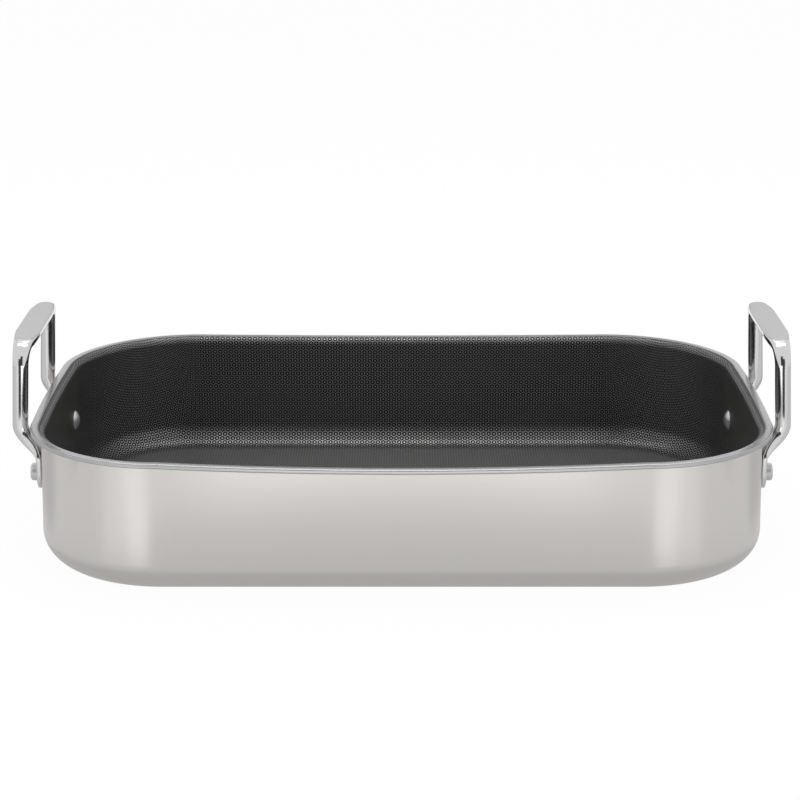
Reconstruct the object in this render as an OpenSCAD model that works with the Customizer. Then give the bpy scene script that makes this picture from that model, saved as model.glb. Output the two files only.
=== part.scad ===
// Roasting pan of three-layer clad sheet with two riveted upright loop handles.
// The origin is the middle of the underside. X runs along the pan, Z is up.

/* [Pan] */
// Length over the lip
pan_l = 401; // [340:1:460]
// Width over the lip
pan_w = 261; // [230:1:320]
// Height from the underside to the top of the lip
pan_h = 72.4; // [62:0.2:95]
// Corner radius of the lip's outer edge, seen from above
corner_r = 75.5; // [66:0.5:82]
// Radius where the wall turns into the base, outside
base_fillet = 16.5; // [10:0.5:24]
// How far the pouring lip reaches out past the wall
lip_reach = 5.6; // [4.6:0.1:7]
// Radius under the lip, where the wall turns outwards
lip_under_r = 2.2; // [1:0.1:3]

/* [Sheet] */
// Thickness of the outer stainless layer
outer_t = 0.5; // [0.4:0.05:0.8]
// Thickness of the aluminium core
core_t = 1.4; // [0.8:0.1:2]
// Thickness of the inner stainless layer with its coating
inner_t = 0.5; // [0.4:0.05:0.8]
// Radius that breaks the edges of the lip
lip_edge_r = 0.7; // [0.3:0.05:0.9]

/* [Handles] */
// Room between the dome of a rivet and the start of the round corner
dome_room = 2; // [0:0.5:6]
// Height of the middle of the grip's flat above the lip
grip_rise = 42.2; // [36:0.2:60]
// Width of the grip across the hand
grip_w = 13.4; // [12:0.2:18]
// Depth of the grip below its flat
grip_depth = 7; // [5:0.25:9]
// Height of the crisp side below the flat, down to where the grip is widest
grip_side = 0.5; // [0.3:0.1:1.5]
// Share of the straight top that has the full width
grip_full_share = 0.55; // [0.3:0.05:0.8]
// How deep the flat is ground into the top of the bar
flat_cut = 0.8; // [0.6:0.1:1.6]
// Size of a leg away from the pan
leg_a = 8.4; // [7:0.1:11]
// Size of a leg along the pan's end
leg_b = 8; // [6:0.1:10]
// Radius of the bend between leg and grip, on the centre line
bend_r = 10; // [7:0.5:12]
// Gap between a leg and the edge of the lip
lip_gap = 2.2; // [0.8:0.1:3]
// Drop below the lip at which a leg has its full size
foot_drop = 3.6; // [1:0.1:6]
// Angle at which the handle leans in over the pan
lean = 3; // [0:0.5:10]
// Thickness of the riveted tab
tab_t = 3.5; // [2.5:0.1:4.5]
// Width of the riveted tab
tab_w = 17.8; // [15:0.1:19]

/* [Rivets] */
// Drop of the rivets below the top of the lip
rivet_drop = 30.8; // [27:0.2:37]
// Diameter of the rivet shank
shank_d = 6; // [4:0.1:7]
// Diameter of the button head outside
button_d = 9.7; // [8:0.1:12]
// Height of the button head outside
button_h = 3.8; // [2:0.1:5]
// Diameter of the low dome inside the pan
dome_d = 12; // [10:0.1:14]
// Height of the low dome inside the pan
dome_h = 3; // [1:0.1:3.5]

/* [Hidden] */
$fn = 96;

// Overrun that lets a cut pass right through
over = 2;
// Clearance round a rivet shank in its holes
rivet_gap = 0.05;

// Depths into the sheet, counted from the outside
sheet_t = outer_t + core_t + inner_t;
core_at = outer_t;
inner_at = outer_t + core_t;

// The wall's outside
wall_x = pan_l / 2 - lip_reach;
wall_y = pan_w / 2 - lip_reach;
wall_r = corner_r - lip_reach;
flat_x = wall_x - wall_r;
flat_y = wall_y - wall_r;

// Half the distance between the two legs of a handle, and the height of their rivets
leg_y = flat_y - dome_d / 2 - dome_room;
rivet_z = pan_h - rivet_drop;

// Outline of everything inside the surface that lies `deep` below the sheet's outside.
// Its own x is counted outwards from the wall's outer face, and its y is height.
module inside_of(deep) {
    fillet = base_fillet - deep;
    under = pan_h - sheet_t + deep;
    cove = lip_under_r + deep;
    // The well, with its base corner rounded
    difference() {
        translate([-wall_r, deep]) square([wall_r - deep, pan_h + over - deep]);
        translate([-deep - fillet, deep - over]) square([fillet + over, fillet + over]);
    }
    intersection() {
        translate([-deep - fillet, deep + fillet]) circle(fillet);
        translate([-deep - fillet, deep]) square([fillet, fillet]);
    }
    // The space over the lip
    translate([-wall_r, under]) square([wall_r + lip_reach + over, pan_h + over - under]);
    // The sheet turns outwards below the lip
    difference() {
        translate([-deep - over, under - cove]) square([cove + over, cove + over]);
        translate([lip_under_r, under - cove]) circle(cove);
        translate([-deep - 2 * over, under - cove - over]) square([over, cove + 3 * over]);
    }
}

// Everything up to the top of the lip, with the lip's edge rounded
module lip_limit() {
    translate([-wall_r, 0]) square([wall_r + lip_reach - lip_edge_r, pan_h]);
    translate([-wall_r, 0]) square([wall_r + lip_reach, pan_h - sheet_t]);
    translate([0, pan_h - sheet_t + lip_edge_r])
        square([lip_reach, sheet_t - 2 * lip_edge_r]);
    for (z = [pan_h - lip_edge_r, pan_h - sheet_t + lip_edge_r])
        translate([lip_reach - lip_edge_r, z]) circle(lip_edge_r);
}

// Section of one layer of the sheet between two depths
module layer_section(from, to) {
    intersection() {
        difference() {
            inside_of(from);
            inside_of(to);
        }
        lip_limit();
    }
}

// One layer of the sheet, carried round the four walls and across the floor
module layer(from, to) {
    difference() {
        union() {
            for (sx = [0, 1], sy = [0, 1])
                mirror([sx, 0, 0]) mirror([0, sy, 0])
                    translate([flat_x, flat_y, 0])
                        rotate_extrude(angle = 90)
                            translate([wall_r, 0]) layer_section(from, to);
            for (sy = [0, 1])
                mirror([0, sy, 0]) translate([-flat_x, flat_y, 0]) rotate([90, 0, 90])
                    linear_extrude(2 * flat_x) translate([wall_r, 0]) layer_section(from, to);
            for (sx = [0, 1])
                mirror([sx, 0, 0]) translate([flat_x, flat_y, 0]) rotate([90, 0, 0])
                    linear_extrude(2 * flat_y) translate([wall_r, 0]) layer_section(from, to);
            translate([-flat_x, -flat_y, from]) cube([2 * flat_x, 2 * flat_y, to - from]);
        }
        rivet_holes(wall_x - sheet_t - over, sheet_t + 2 * over);
    }
}

// Holes for the four rivets, from x over a length at both ends
module rivet_holes(x, len) {
    for (sx = [0, 1], sy = [-1, 1])
        mirror([sx, 0, 0]) translate([x, sy * leg_y, rivet_z]) rotate([0, 90, 0])
            cylinder(h = len, d = shank_d + 2 * rivet_gap);
}

module pan_outer_steel() {
    color("#c9c8c6") layer(0, core_at);
}

module pan_core() {
    color("#b8bcc0") layer(core_at, inner_at);
}

module pan_inner_coated() {
    color("#2c2c2b") layer(inner_at, sheet_t);
}

// Shares of a smooth step from 0 to 1
function ease(t) = let (c = min(1, max(0, t))) c * c * (3 - 2 * c);
function mix(a, b, t) = a + (b - a) * t;
function unit(v) = v / norm(v);

// The handle's heights: top of the tab, foot of the leg, grip's flat, start of the bend
tab_top = rivet_z + tab_w / 2;
foot_z = pan_h - foot_drop;
flat_z = pan_h + grip_rise;
bend_z = flat_z - (bend_r + leg_b / 2 - flat_cut) * cos(lean);
tab_x = wall_x + tab_t / 2;
leg_out = pan_l / 2 + lip_gap + leg_a / 2;
// Middle of the leaning leg at a height
function leg_x(z) = leg_out + (foot_z - z) * tan(lean);

// Half the straight top, the length of a bend, and how far along both the grip has its full width
top_half = leg_y - bend_r;
bend_len = bend_r * PI / 2;
widen_len = bend_len + top_half * (1 - grip_full_share);
// How far the bar has turned into the grip after a way from the foot of the bend
function grip_share(way) = ease(way / widen_len);

// Squareness of the sections: 2 is an ellipse, and more is squarer
tab_square = 5;
bar_square = 2.3;
grip_square = 3;
grip_under_square = 1.9;
// Shares of the S-bend in which the tab reaches the leg's size and roundness
thick_share = 0.7;
narrow_share = 0.8;
round_share = 0.75;

// The centre line of half a handle, from the end of the tab to the middle of the grip.
// Each station is [point, half size away from the pan, half size across, squareness, grip share]
tab_rings = 6;
function tab_end() = [for (i = [1:tab_rings]) let (f = 90 * i / tab_rings)
    [[tab_x, leg_y, rivet_z - tab_w / 2 * cos(f)], tab_t / 2, tab_w / 2 * sin(f), tab_square, 0]];
s_rings = 12;
function s_bend() = [for (i = [0:s_rings]) let (t = i / s_rings, z = mix(tab_top, foot_z, t))
    [[mix(tab_x, leg_x(z), ease(t)), leg_y, z],
        mix(tab_t, leg_a, ease(t / thick_share)) / 2,
        mix(tab_w, leg_b, ease(t / narrow_share)) / 2,
        mix(tab_square, bar_square, ease(t / round_share)), 0]];
leg_rings = 3;
function leg() = [for (i = [1:leg_rings]) let (z = mix(foot_z, bend_z, i / (leg_rings + 1)))
    [[leg_x(z), leg_y, z], leg_a / 2, leg_b / 2, bar_square, 0]];
bend_rings = 11;
function bend() = [for (i = [0:bend_rings]) let (
        f = 90 * i / bend_rings, z = bend_z + bend_r * sin(f), e = grip_share(bend_len * i / bend_rings))
    [[leg_x(z), leg_y - bend_r * (1 - cos(f)), z],
        mix(leg_a, grip_w, e) / 2, leg_b / 2, mix(bar_square, grip_square, e), e]];
grip_rings = 8;
function grip() = [for (i = [1:grip_rings]) let (
        way = top_half * i / grip_rings, z = bend_z + bend_r, e = grip_share(bend_len + way))
    [[leg_x(z), top_half - way, z],
        mix(leg_a, grip_w, e) / 2, leg_b / 2, mix(bar_square, grip_square, e), e]];

half = concat(tab_end(), s_bend(), leg(), bend(), grip());
stations = concat(half, [for (i = [len(half) - 2:-1:0]) let (s = half[i])
    [[s[0].x, -s[0].y, s[0].z], s[1], s[2], s[3], s[4]]]);

ring_points = 28;
function power(v, p) = sign(v) * pow(abs(v), 2 / p);
// A point of the section: an even bar that turns into a grip, widest close to its top
function section(s, a) = let (
        widest = s[4] * (s[2] - flat_cut - grip_side),
        above = s[2] - widest,
        below = mix(s[2], grip_depth - grip_side, s[4]),
        under_square = mix(s[3], grip_under_square, s[4]))
    [s[1] * power(cos(a), s[3]),
        widest + (sin(a) > 0 ? above * power(sin(a), s[3]) : below * power(sin(a), under_square))];
// The ring of points at station i, square to the centre line
function ring(i) = let (
        n = len(stations),
        out = [cos(lean), 0, sin(lean)],
        ahead = unit(stations[min(n - 1, i + 1)][0] - stations[max(0, i - 1)][0]),
        u = unit(out - (out * ahead) * ahead),
        v = cross(ahead, u))
    [for (k = [0:ring_points - 1]) let (q = section(stations[i], 360 * k / ring_points))
        stations[i][0] + q[0] * u + q[1] * v];

module handle() {
    n = len(stations);
    points = [for (i = [0:n - 1]) each ring(i)];
    faces = concat(
        [[for (k = [0:ring_points - 1]) k]],
        [[for (k = [ring_points - 1:-1:0]) (n - 1) * ring_points + k]],
        [for (i = [0:n - 2], k = [0:ring_points - 1]) let (
                a = i * ring_points + k, b = i * ring_points + (k + 1) % ring_points)
            each [[a, a + ring_points, b], [b, a + ring_points, b + ring_points]]]);
    difference() {
        polyhedron(points, faces);
        rivet_holes(wall_x - over, tab_t + 2 * over);
        // The flat is ground on top of the grip, square to the lean
        translate([leg_x(flat_z), 0, flat_z]) rotate([0, -lean, 0])
            translate([-grip_w, -leg_y - leg_b, 0])
                cube([2 * grip_w, 2 * (leg_y + leg_b), flat_cut + over]);
    }
}

module handle_right() {
    color("#d6d6d5") handle();
}

module handle_left() {
    color("#d6d6d5") mirror([1, 0, 0]) handle();
}

// Share of the button head's height that its rounded edge takes
button_edge_share = 0.3;
// A rivet along its own axis: dome inside the pan, shank, button head outside
module rivet() {
    grip_len = sheet_t + tab_t;
    dome_r = (pow(dome_d / 2, 2) + pow(dome_h, 2)) / (2 * dome_h);
    edge = button_h * button_edge_share;
    rotate([0, 90, 0]) rotate_extrude() {
        intersection() {
            translate([0, dome_r - dome_h]) circle(dome_r);
            translate([0, -dome_h]) square([dome_d / 2, dome_h]);
        }
        square([shank_d / 2, grip_len]);
        translate([0, grip_len]) square([button_d / 2, button_h - edge]);
        translate([0, grip_len]) square([button_d / 2 - edge, button_h]);
        translate([button_d / 2 - edge, grip_len + button_h - edge])
            intersection() {
                circle(edge);
                square(edge);
            }
    }
}

module rivet_at(sx, sy) {
    color("#cfcfce") mirror([sx, 0, 0]) translate([wall_x - sheet_t, sy * leg_y, rivet_z]) rivet();
}

module rivet_left_front() {
    rivet_at(1, -1);
}

module rivet_left_rear() {
    rivet_at(1, 1);
}

module rivet_right_front() {
    rivet_at(0, -1);
}

module rivet_right_rear() {
    rivet_at(0, 1);
}

pan_outer_steel();
pan_core();
pan_inner_coated();
handle_left();
handle_right();
rivet_left_front();
rivet_left_rear();
rivet_right_front();
rivet_right_rear();
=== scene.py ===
# %% [markdown]
# # A roasting pan with riveted loop handles
#
# The pan is one sheet of clad metal, steel outside and inside with aluminium between, drawn into a
# rounded tray. Two cast steel loops are riveted to its ends. We load the measured frame of the pan first,
# so that every mesh we make lands where the real piece is, in metres.

# %% Load the measured frame
import math

import bmesh
import bpy
from mathutils import Matrix, Vector


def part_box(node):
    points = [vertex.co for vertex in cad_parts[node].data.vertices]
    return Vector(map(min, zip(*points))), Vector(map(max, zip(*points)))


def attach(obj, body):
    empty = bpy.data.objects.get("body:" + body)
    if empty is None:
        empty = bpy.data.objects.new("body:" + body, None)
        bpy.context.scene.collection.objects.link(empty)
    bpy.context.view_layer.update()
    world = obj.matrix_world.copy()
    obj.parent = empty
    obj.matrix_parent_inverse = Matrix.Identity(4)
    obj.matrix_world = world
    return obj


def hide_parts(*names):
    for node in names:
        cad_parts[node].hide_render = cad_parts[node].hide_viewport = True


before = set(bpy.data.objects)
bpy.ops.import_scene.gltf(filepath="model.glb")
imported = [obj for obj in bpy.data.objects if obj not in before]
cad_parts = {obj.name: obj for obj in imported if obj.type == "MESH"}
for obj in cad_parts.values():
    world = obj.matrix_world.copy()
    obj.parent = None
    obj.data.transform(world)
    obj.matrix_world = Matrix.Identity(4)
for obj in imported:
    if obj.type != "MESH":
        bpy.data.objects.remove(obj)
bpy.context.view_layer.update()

# %% [markdown]
# ## The sizes that everything follows
#
# A maker starts from a drawing. These are its sizes, in metres by way of `MM`. The length, width and
# height come from the frame, and the rest are the radii and thicknesses of the sheet.

# %% Name the sizes of the pan
MM = 0.001
pan_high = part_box("pan_outer_steel")[1]
SHEET_LAYERS = {"outer": 0.5 * MM, "core": 1.4 * MM, "inner": 0.5 * MM}
SHEET = sum(SHEET_LAYERS.values())
HALF_LENGTH = pan_high.x
HALF_WIDTH = pan_high.y
PAN_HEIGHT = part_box("pan_inner_coated")[1].z
LIP_REACH = 5.6 * MM
LIP_UNDER_RADIUS = 2.2 * MM
LIP_EDGE_RADIUS = 0.7 * MM
BASE_FILLET = 16.5 * MM
CORNER_RADIUS = 75.5 * MM

WALL_X = HALF_LENGTH - LIP_REACH
WALL_Y = HALF_WIDTH - LIP_REACH
WALL_RADIUS = CORNER_RADIUS - LIP_REACH
FLAT_X = WALL_X - WALL_RADIUS
FLAT_Y = WALL_Y - WALL_RADIUS
print(f"pan {2000 * HALF_LENGTH:.0f} x {2000 * HALF_WIDTH:.0f} x {1000 * PAN_HEIGHT:.0f} mm over the lip")

# %% [markdown]
# ## The camera
#
# The pan is seen from the front and a little above, from more than a metre away with a long lens. A long
# lens keeps the two ends nearly parallel. The tilt, height and distance were found by fitting the lip,
# the rivets and the base. Whatever we make also has to be linked into the scene, which is our first helper.

# %% Set the camera
SENSOR = 36.0
IMAGE_SIZE = 800
FOCAL_PIXELS = 2127
CAMERA_DISTANCE = 1147.2 * MM
CAMERA_HEIGHT = 418 * MM
CAMERA_TILT = math.radians(16.96)
CENTRE_OFFSET_PIXELS = 1.7


def add_to_scene(name, data):
    thing = bpy.data.objects.new(name, data)
    bpy.context.scene.collection.objects.link(thing)
    return thing


camera_data = bpy.data.cameras.new("camera")
camera_data.sensor_width = SENSOR
camera_data.lens = FOCAL_PIXELS / IMAGE_SIZE * SENSOR
camera_data.shift_x = -CENTRE_OFFSET_PIXELS / IMAGE_SIZE
camera = add_to_scene("camera", camera_data)
camera.location = (0, -CAMERA_DISTANCE, CAMERA_HEIGHT)
camera.rotation_euler = (math.pi / 2 - CAMERA_TILT, 0, 0)
bpy.context.scene.camera = camera
bpy.context.scene.view_settings.view_transform = "Standard"
print(f"lens {camera_data.lens:.1f} mm at {CAMERA_DISTANCE:.2f} m")

# %% [markdown]
# ## Small helpers for shader nodes
#
# A material is a graph. These helpers add a node with its settings, and feed it from other nodes or from
# plain numbers, so that each material further down reads as a short recipe.

# %% Write the node helpers
def feed(tree, socket, value):
    if isinstance(value, bpy.types.NodeSocket):
        tree.links.new(value, socket)
    else:
        socket.default_value = value


def add_node(tree, kind, inputs=None, **settings):
    node = tree.nodes.new(kind)
    for key, value in settings.items():
        setattr(node, key, value)
    for key, value in (inputs or {}).items():
        feed(tree, node.inputs[key], value)
    return node


def calc(tree, operation, *values):
    return add_node(tree, "ShaderNodeMath", dict(enumerate(values)), operation=operation).outputs[0]


def vector_calc(tree, operation, *values, output="Vector"):
    node = add_node(tree, "ShaderNodeVectorMath", dict(enumerate(values)), operation=operation)
    return node.outputs[output]


def remap(tree, value, low, high, to_low=0.0, to_high=1.0, smooth=False):
    inputs = {"Value": value, "From Min": low, "From Max": high, "To Min": to_low, "To Max": to_high}
    kind = "SMOOTHSTEP" if smooth else "LINEAR"
    return add_node(tree, "ShaderNodeMapRange", inputs, interpolation_type=kind).outputs["Result"]


def mix_colour(tree, factor, first, second):
    return add_node(tree, "ShaderNodeMix", {0: factor, 6: first, 7: second}, data_type="RGBA").outputs[2]


print("node helpers ready")

# %% [markdown]
# ## Small helpers for materials and groups
#
# Every finish here starts from one Principled shader. Only the floor and the cards of the studio show
# something else. A node group is a recipe that several materials share, and its sockets are its knobs.

# %% Write the material helpers
def grey(level, warmth=0.0):
    return (level * (1 + warmth), level, level * (1 - warmth), 1.0)


def even_grey(tree, tone):
    return add_node(tree, "ShaderNodeCombineColor", {0: tone, 1: tone, 2: tone}).outputs["Color"]


def object_place(tree):
    return add_node(tree, "ShaderNodeTexCoord").outputs["Object"]


def show(tree, shader_output):
    output = next(node for node in tree.nodes if node.type == "OUTPUT_MATERIAL")
    tree.links.new(shader_output, output.inputs["Surface"])


def new_material(name):
    material = bpy.data.materials.new(name)
    material.use_nodes = True
    tree = material.node_tree
    tree.nodes.clear()
    shader = tree.nodes.new("ShaderNodeBsdfPrincipled")
    tree.nodes.new("ShaderNodeOutputMaterial")
    show(tree, shader.outputs["BSDF"])
    return material, tree, shader


def new_group(name, inputs, outputs):
    group = bpy.data.node_groups.new(name, "ShaderNodeTree")
    for label, kind, value in inputs:
        socket = group.interface.new_socket(label, in_out="INPUT", socket_type=kind)
        if value is not None:
            socket.default_value = value
    for label, kind in outputs:
        group.interface.new_socket(label, in_out="OUTPUT", socket_type=kind)
    return group, group.nodes.new("NodeGroupInput"), group.nodes.new("NodeGroupOutput")


def use_group(tree, group, inputs):
    return add_node(tree, "ShaderNodeGroup", inputs, node_tree=group)


print("material helpers ready")

# %% [markdown]
# ## The studio floor
#
# Polished steel shows its surroundings, so the studio is half of the picture. The floor is a wide pale
# sheet. More light would also turn it white, but would burn out the steel. So the camera and the mirror
# rays are shown nearly white by way of the Light Path node, and the lamps stay at a plain level.

# %% Lay the floor
FLOOR_HALF = 3.0
FLOOR_DROP = 0.05 * MM
FLOOR_PALE = 0.82
FLOOR_ROUGHNESS = 0.9
FLOOR_SHOWN_WHITE = 0.96
FLOOR_MIRRORED_WHITE = 0.8


def flat_sheet(name, corners):
    mesh = bpy.data.meshes.new(name)
    mesh.from_pydata(corners, [], [tuple(range(len(corners)))])
    return add_to_scene(name, mesh)


def mirror_rays(tree, light_path):
    return calc(tree, "MAXIMUM", light_path.outputs["Is Glossy Ray"],
                light_path.outputs["Is Transmission Ray"])


def build_floor():
    floor = flat_sheet("floor", [(x * FLOOR_HALF, y * FLOOR_HALF, -FLOOR_DROP)
                                 for x, y in ((-1, -1), (1, -1), (1, 1), (-1, 1))])
    material, tree, shader = new_material("pale_floor")
    shader.inputs["Base Color"].default_value = grey(FLOOR_PALE)
    shader.inputs["Roughness"].default_value = FLOOR_ROUGHNESS
    white = add_node(tree, "ShaderNodeEmission", {"Color": grey(1.0), "Strength": 1.0})
    light_path = tree.nodes.new("ShaderNodeLightPath")
    shown = calc(tree, "MULTIPLY", light_path.outputs["Is Camera Ray"], FLOOR_SHOWN_WHITE)
    mirrored = calc(tree, "MULTIPLY", mirror_rays(tree, light_path), FLOOR_MIRRORED_WHITE)
    mixed = add_node(tree, "ShaderNodeMixShader", {
        0: calc(tree, "MAXIMUM", shown, mirrored), 1: shader.outputs["BSDF"], 2: white.outputs["Emission"]})
    show(tree, mixed.outputs["Shader"])
    floor.data.materials.append(material)
    return floor


floor = build_floor()
print("floor laid at", -FLOOR_DROP)

# %% [markdown]
# ## The cards
#
# Without something to mirror, steel looks like white plastic, so photographers put up cards just out of
# the picture. Ours are seen in reflections only. Dark ones draw the lines down the legs of the handles.
# White wedges before the front corners leave the two bright bands on the wall, and grey rings round the
# foot shade its lower edge. Lamps could do this too, but a card shapes a reflection without adding light.

# %% Write the card helpers
CARD_LIFT = 0.4 * MM


def card(name, level, corners):
    piece = flat_sheet(name, corners)
    material, tree, shader = new_material(name)
    shine = add_node(tree, "ShaderNodeEmission", {"Color": grey(1.0), "Strength": level})
    show(tree, shine.outputs["Emission"])
    tree.nodes.remove(shader)
    piece.data.materials.append(material)
    piece.visible_camera = False
    piece.visible_diffuse = False
    piece.visible_shadow = False


def floor_card(name, level, corners):
    card(name, level, [(x, y, CARD_LIFT) for x, y in corners])


def upright_card(name, level, x_span, y, z_span):
    (left, right), (low, high) = x_span, z_span
    card(name, level, [(left, y, low), (right, y, low), (right, y, high), (left, y, high)])


print("card helpers ready, floor cards lie", round(CARD_LIFT / MM, 1), "mm above the floor")

# %% Put up the cards beside the pan
DARK_CARD = 0.06
WHITE_CARD = 1.25
WEDGE_START = 130 * MM
WEDGE_AZIMUTHS = (17, 42)
WEDGE_REACHES = (50 * MM, 650 * MM)
SIDE_CARDS = {
    "pale_card": (0.82, [(0.205, -0.15), (0.75, -0.50), (0.75, 0.20), (0.23, -0.06)]),
    "grey_card": (0.6, [(0.23, -0.06), (0.75, 0.20), (0.75, 0.6), (0.23, 0.6)]),
}
LEG_CARD_SPAN = (200 * MM, 223 * MM)
LEG_CARD_Y = -110 * MM
LEG_CARD_HEIGHTS = (55 * MM, 135 * MM)


def wedge_corner(side, azimuth, reach):
    angle = math.radians(azimuth)
    return (side * (WEDGE_START + reach * math.sin(angle)), -WEDGE_START - reach * math.cos(angle))


def wedge(side):
    (first, last), (near, far) = WEDGE_AZIMUTHS, WEDGE_REACHES
    return [wedge_corner(side, azimuth, reach)
            for azimuth, reach in ((first, near), (first, far), (last, far), (last, near))]


for side, word in ((-1, "left"), (1, "right")):
    floor_card(f"white_card_{word}", WHITE_CARD, wedge(side))
    for name, (level, corners) in SIDE_CARDS.items():
        floor_card(f"{name}_{word}", level, [(side * x, y) for x, y in corners])
    upright_card(f"dark_card_{word}", DARK_CARD, [side * x for x in LEG_CARD_SPAN], LEG_CARD_Y,
                 LEG_CARD_HEIGHTS)
print("side cards up")

# %% Put up the cards round the foot, in front and behind
FOOT_CARDS = ((0.6, 58 * MM, 82 * MM), (0.74, 82 * MM, 122 * MM))
TURN_DEGREES = 10
FRONT_CARD_HALF = 150 * MM
FRONT_CARDS = (("pale_card_front", 0.74, -0.177, -0.325), ("bright_card_front", 2.4, -0.325, -0.8))
REAR_CARD = {"level": 0.4, "x_span": (-0.27, 0.27), "y": 0.8, "z_span": (0.2, 0.45)}
CAMERA_CARD = {"level": DARK_CARD, "x_span": (-0.26, 0.26), "y": -1.05, "z_span": (0.0, 0.85)}


def round_the_foot(side, way, reach, azimuth):
    angle = math.radians(azimuth)
    return (side * (FLAT_X + reach * math.sin(angle)), way * (FLAT_Y + reach * math.cos(angle)))


def half_ring(way, reach):
    left = [round_the_foot(-1, way, reach, a) for a in range(90, -1, -TURN_DEGREES)]
    right = [round_the_foot(1, way, reach, a) for a in range(0, 91, TURN_DEGREES)]
    return [(-FLAT_X - reach, 0.0)] + left + right + [(FLAT_X + reach, 0.0)]


for way, word in ((-1, "front"), (1, "rear")):
    for number, (level, inner, outer) in enumerate(FOOT_CARDS):
        floor_card(f"foot_card_{word}_{number}", level, half_ring(way, inner) + half_ring(way, outer)[::-1])
for name, level, near, far in FRONT_CARDS:
    floor_card(name, level, [(-FRONT_CARD_HALF, near), (FRONT_CARD_HALF, near),
                             (FRONT_CARD_HALF, far), (-FRONT_CARD_HALF, far)])
upright_card("grey_card_rear", **REAR_CARD)
upright_card("dark_card_camera", **CAMERA_CARD)

# %% [markdown]
# ## The space around
#
# A studio has pale walls that fill the shadows. The world stands in for them. It is white to the eye and
# in reflections, and a little darker as a source of light, so that the shading under the lip survives.

# %% Light the space around
WORLD_LEVEL = 0.75

world = bpy.data.worlds.new("studio")
bpy.context.scene.world = world
world.use_nodes = True
sky = world.node_tree
sky.nodes.clear()
shown = add_node(sky, "ShaderNodeBackground", {"Color": grey(1.0), "Strength": 1.0})
fill = add_node(sky, "ShaderNodeBackground", {"Color": grey(1.0), "Strength": WORLD_LEVEL})
sky_path = sky.nodes.new("ShaderNodeLightPath")
seen = calc(sky, "MAXIMUM", sky_path.outputs["Is Camera Ray"], mirror_rays(sky, sky_path))
sky_mix = add_node(sky, "ShaderNodeMixShader",
                   {0: seen, 1: fill.outputs["Background"], 2: shown.outputs["Background"]})
sky_output = sky.nodes.new("ShaderNodeOutputWorld")
sky.links.new(sky_mix.outputs["Shader"], sky_output.inputs["Surface"])
print("world level", WORLD_LEVEL)

# %% [markdown]
# ## The lamps
#
# A soft round lamp hangs over the pan with a strip at each side of it, and a wide one hangs behind, which
# the rim and the flats of the handles mirror. Two tall lamps left and right in front light the wall. They
# are kept out of reflections, because their outlines would show on the steel as hard white squares.

# %% Hang the lamps
def soft_lamp(name, shape, size, place, aim, watts):
    data = bpy.data.lights.new(name, "AREA")
    data.shape = shape
    data.size, data.size_y = size
    data.energy = watts
    lamp = add_to_scene(name, data)
    lamp.location = place
    lamp.rotation_euler = (Vector(aim) - Vector(place)).to_track_quat("-Z", "Y").to_euler()
    return lamp


soft_lamp("overhead", "ELLIPSE", size=(0.55, 0.6), place=(0, 0.12, 1.4), aim=(0, 0.12, 0), watts=3.2)
soft_lamp("rear_overhead", "RECTANGLE", size=(1.2, 0.9), place=(0, 0.85, 1.1), aim=(0, 0.1, 0), watts=2.5)
for side, word in ((-1, "left"), (1, "right")):
    soft_lamp(f"strip_{word}", "RECTANGLE", size=(0.5, 0.25), place=(side * 0.5, 0.12, 1.4),
              aim=(side * 0.5, 0.12, 0), watts=1.4)
    lamp = soft_lamp(f"front_{word}", "RECTANGLE", size=(0.5, 1.1), place=(side * 1.0, -1.3, 0.75),
                     aim=(0, 0, 0.05), watts=6)
    lamp.visible_glossy = False

# %% [markdown]
# ## A shared effect: brushing
#
# Satin steel is brushed with a belt, which leaves fine lines along its way. We stretch a noise along one
# axis. A picture of scratches would repeat and blur up close, and noise doesn't. The group gives the fine
# lines, and broader streaks where the belt pressed harder.

# %% Build the brushing group
BROAD_SHARE = 0.12


def build_brushing():
    group, inside, outside = new_group(
        "brushing",
        [("Vector", "NodeSocketVector", None), ("Lines per metre", "NodeSocketFloat", 2500.0),
         ("Stretch", "NodeSocketFloat", 60.0)],
        [("Lines", "NodeSocketFloat"), ("Streaks", "NodeSocketFloat")])
    parts = add_node(group, "ShaderNodeSeparateXYZ", {"Vector": inside.outputs["Vector"]})
    across = inside.outputs["Lines per metre"]
    along = calc(group, "DIVIDE", across, inside.outputs["Stretch"])
    stretched = add_node(group, "ShaderNodeCombineXYZ", {
        "X": calc(group, "MULTIPLY", parts.outputs["X"], along),
        "Y": calc(group, "MULTIPLY", parts.outputs["Y"], across),
        "Z": calc(group, "MULTIPLY", parts.outputs["Z"], across)}).outputs["Vector"]
    fine = add_node(group, "ShaderNodeTexNoise", {
        "Vector": stretched, "Scale": 1.0, "Detail": 3.0, "Roughness": 0.6})
    broad = add_node(group, "ShaderNodeTexNoise", {
        "Vector": vector_calc(group, "MULTIPLY", stretched, (BROAD_SHARE, BROAD_SHARE, BROAD_SHARE)),
        "Scale": 1.0, "Detail": 2.0, "Roughness": 0.5})
    group.links.new(fine.outputs["Fac"], outside.inputs["Lines"])
    group.links.new(broad.outputs["Fac"], outside.inputs["Streaks"])
    return group


brushing = build_brushing()
print("group:", brushing.name)

# %% [markdown]
# ## A shared effect: handling
#
# Any metal that has been handled is faintly uneven. The group gives soft patches, for tone and roughness,
# and much finer specks. Noise stays near its middle, so a helper spreads that middle over a range.

# %% Build the handling group
SPECKS_PER_PATCH = 40.0
NOISE_MIDDLE = (0.3, 0.7)


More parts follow.
